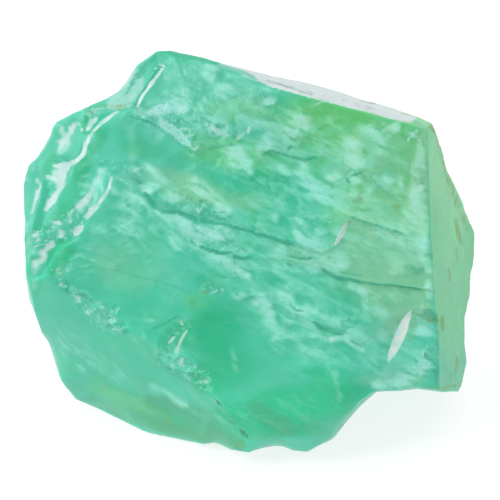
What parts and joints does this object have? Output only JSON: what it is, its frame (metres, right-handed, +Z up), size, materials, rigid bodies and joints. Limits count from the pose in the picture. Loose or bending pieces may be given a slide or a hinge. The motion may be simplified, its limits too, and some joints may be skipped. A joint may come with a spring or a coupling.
{
  "type": "raw calcite",
  "caption": "Rough chunk of translucent green calcite with fresh cleavage faces meeting at one corner, a stepped broken shoulder, a rough back and a flat break that it rests on.",
  "frame": {"origin": "centre of the chunk's bounding box in plan, on the flat break that it rests on", "axes": "+X runs along the chunk's length, to the right as the large cleavage face is looked at; -Y is the side the large cleavage face leans back from; +Z is up from the resting face"},
  "size_m": [0.0614, 0.0464, 0.0508],
  "materials": {
    "calcite": "translucent mint green crystal with a glassy sheen, whitish veils inside, a yellow-green tint at the upper right and small ochre stains"
  },
  "bodies": {
    "root": {"raw_calcite": "calcite"}
  },
  "joints": []
}
